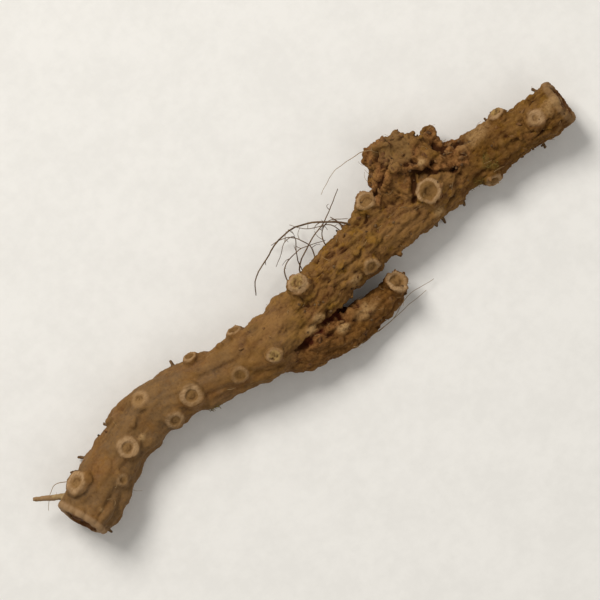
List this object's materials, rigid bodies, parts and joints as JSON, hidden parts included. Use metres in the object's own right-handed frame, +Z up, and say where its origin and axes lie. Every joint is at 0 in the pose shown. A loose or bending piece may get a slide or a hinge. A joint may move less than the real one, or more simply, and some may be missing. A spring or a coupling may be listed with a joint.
{
  "type": "polypody rhizome",
  "caption": "Dried creeping fern stem, lying down: wrinkled, bent, with round raised frond scars, a side shoot, a torn shoot and wiry root stubs.",
  "frame": {"origin": "on the resting surface, under the middle of the piece's box", "axes": "+X along the stem towards its younger end, +Z up with the frond scars on top, +Y towards the torn shoot"},
  "size_m": [0.0628, 0.0138, 0.0062],
  "materials": {
    "rhizome_bark": "matt dried bark, finely wrinkled, with pale tan rims round the frond scars"
  },
  "bodies": {
    "root": {"rhizome": "rhizome_bark"}
  },
  "joints": []
}
